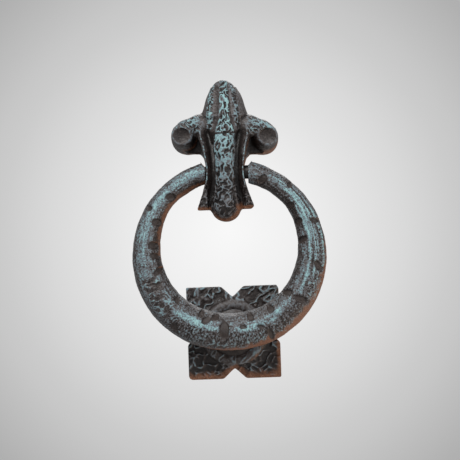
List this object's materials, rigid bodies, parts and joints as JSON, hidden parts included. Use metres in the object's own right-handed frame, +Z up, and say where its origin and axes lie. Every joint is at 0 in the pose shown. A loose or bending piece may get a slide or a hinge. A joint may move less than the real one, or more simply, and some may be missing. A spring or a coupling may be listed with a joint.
{
  "type": "door knocker",
  "caption": "Door knocker: a swinging ring hung from a fleur-shaped bracket, with a notched square strike plate below it, bolted through the door.",
  "frame": {"origin": "on the bracket's back face, which lies on the door's face, straight behind the middle of the hinge pin", "axes": "+X to the right seen from in front of the door, +Y into the door, +Z up; the knocker faces -Y"},
  "size_m": [0.1208, 0.0912, 0.1863],
  "materials": {
    "patinated_iron": "dark brown casting with a dry blue-green patina on its high spots",
    "dark_pin": "oiled dark steel",
    "plain_steel": "zinc-plated fixings"
  },
  "bodies": {
    "door_side": {"bracket": "patinated_iron", "strike_plate": "patinated_iron", "strike_button": "patinated_iron", "upper_stud": "plain_steel", "lower_stud": "plain_steel", "upper_washer": "plain_steel", "lower_washer": "plain_steel", "strike_washer": "plain_steel", "upper_spring_washer": "plain_steel", "lower_spring_washer": "plain_steel", "strike_spring_washer": "plain_steel", "upper_nut": "plain_steel", "lower_nut": "plain_steel", "strike_nut": "plain_steel"},
    "swinging_ring": {"ring": "patinated_iron", "hinge_pin": "dark_pin"}
  },
  "joints": [
    {"name": "ring_swing", "type": "hinge", "parent": "door_side", "child": "swinging_ring", "pos_m": [0, -0.022, 0], "axis": [-1, 0, 0], "range_deg": [0, 180]}
  ]
}
